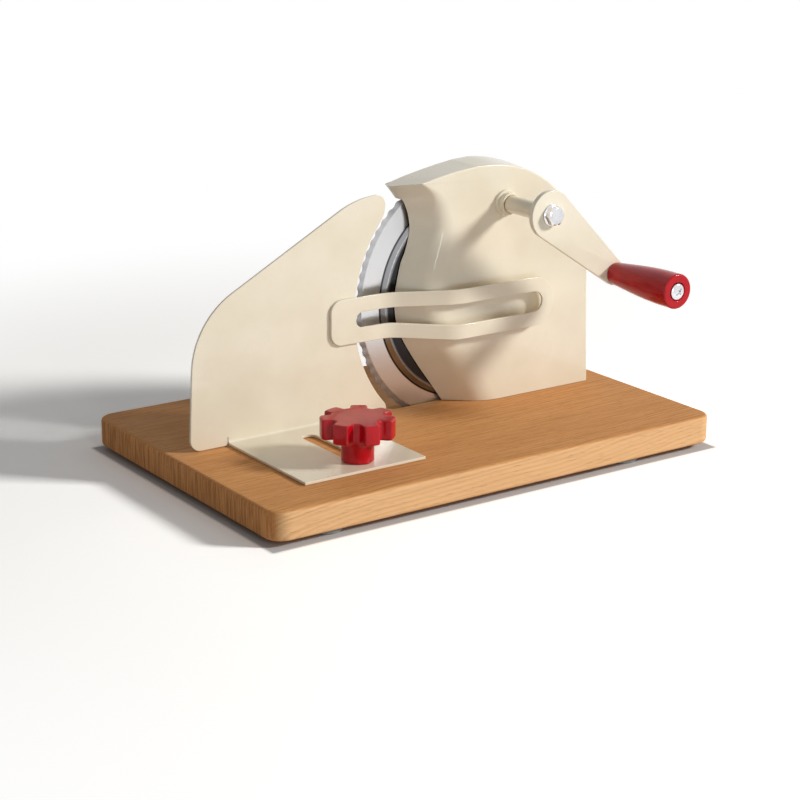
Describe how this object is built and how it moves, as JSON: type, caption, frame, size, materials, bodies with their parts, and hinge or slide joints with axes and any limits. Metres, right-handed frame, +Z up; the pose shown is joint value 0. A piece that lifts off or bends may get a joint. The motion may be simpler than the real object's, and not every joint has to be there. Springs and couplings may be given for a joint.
{
  "type": "bread slicer",
  "caption": "Hand-cranked bread slicer: round scalloped blade in a cream housing on a wooden board, with a sliding fence, guard strip and star knob.",
  "frame": {"origin": "bottom centre of the whole slicer's box, on the surface under the rubber feet", "axes": "+X along the board to the crank side of the housing, +Y away from the crank handle, +Z up"},
  "size_m": [0.365, 0.2462, 0.1984],
  "materials": {
    "board_wood": "oiled beech-like board, semi-matt",
    "foot_rubber": "light grey moulded rubber",
    "cream_enamel": "cream stoved enamel, satin gloss",
    "zinc_steel": "bright zinc-plated steel",
    "bright_chrome": "polished chrome plate",
    "bush_brass": "machined brass",
    "blade_steel": "polished stainless steel with a ground edge",
    "gear_nylon": "black moulded nylon",
    "red_plastic": "glossy red moulding"
  },
  "bodies": {
    "slicer_base": {"base_board": "board_wood", "rubber_foot_1": "foot_rubber", "rubber_foot_2": "foot_rubber", "rubber_foot_3": "foot_rubber", "rubber_foot_4": "foot_rubber", "foot_screw_1": "zinc_steel", "foot_screw_2": "zinc_steel", "foot_screw_3": "zinc_steel", "foot_screw_4": "zinc_steel", "housing": "cream_enamel", "housing_screw_1": "zinc_steel", "housing_screw_2": "zinc_steel", "housing_screw_3": "zinc_steel", "housing_washer_1": "zinc_steel", "housing_washer_2": "zinc_steel", "housing_washer_3": "zinc_steel", "blade_axle": "zinc_steel", "blade_lock_washer": "zinc_steel", "blade_lock_screw": "bright_chrome", "crank_bush": "bush_brass", "clamp_stud": "zinc_steel", "slide_key": "zinc_steel"},
    "blade_wheel": {"slicing_blade": "blade_steel", "blade_gear": "gear_nylon", "blade_bush": "bush_brass", "gear_rivet_1": "zinc_steel", "gear_rivet_2": "zinc_steel", "gear_rivet_3": "zinc_steel", "gear_rivet_4": "zinc_steel"},
    "crank": {"crank_shaft": "zinc_steel", "drive_pinion": "zinc_steel", "pinion_key": "zinc_steel", "shaft_circlip_1": "zinc_steel", "shaft_circlip_2": "zinc_steel", "crank_sleeve": "cream_enamel", "crank_arm": "cream_enamel", "crank_bolt": "bright_chrome", "handle_sleeve": "zinc_steel", "handle_screw": "bright_chrome", "handle_nut": "zinc_steel"},
    "grip": {"handle_grip": "red_plastic"},
    "fence": {"fence_plate": "cream_enamel", "guard_strip": "cream_enamel", "guard_rivet_1": "cream_enamel", "guard_rivet_2": "cream_enamel"},
    "knob": {"clamp_knob": "red_plastic", "knob_insert": "bush_brass"}
  },
  "joints": [
    {"name": "blade_spin", "type": "hinge", "parent": "slicer_base", "child": "blade_wheel", "pos_m": [0.0656, 0.0191, 0.1], "axis": [0, 1, 0], "continuous": true},
    {"name": "crank_spin", "type": "hinge", "parent": "slicer_base", "child": "crank", "pos_m": [0.0808, -0.0034, 0.16843], "axis": [0, 1, 0], "continuous": true},
    {"name": "grip_spin", "type": "hinge", "parent": "crank", "child": "grip", "pos_m": [0.13983, -0.0884, 0.11977], "axis": [0, 1, 0], "continuous": true},
    {"name": "fence_slide", "type": "slide", "parent": "slicer_base", "child": "fence", "axis": [0, 1, 0], "range_m": [-0.03, 0]},
    {"name": "knob_turn", "type": "hinge", "parent": "slicer_base", "child": "knob", "pos_m": [-0.0865, -0.0674, 0.04], "axis": [0, 0, 1], "range_deg": [0, 180]}
  ],
  "couplings": [
    {"joint": "crank_spin", "follows": "blade_spin", "ratio": -2.8889}
  ]
}
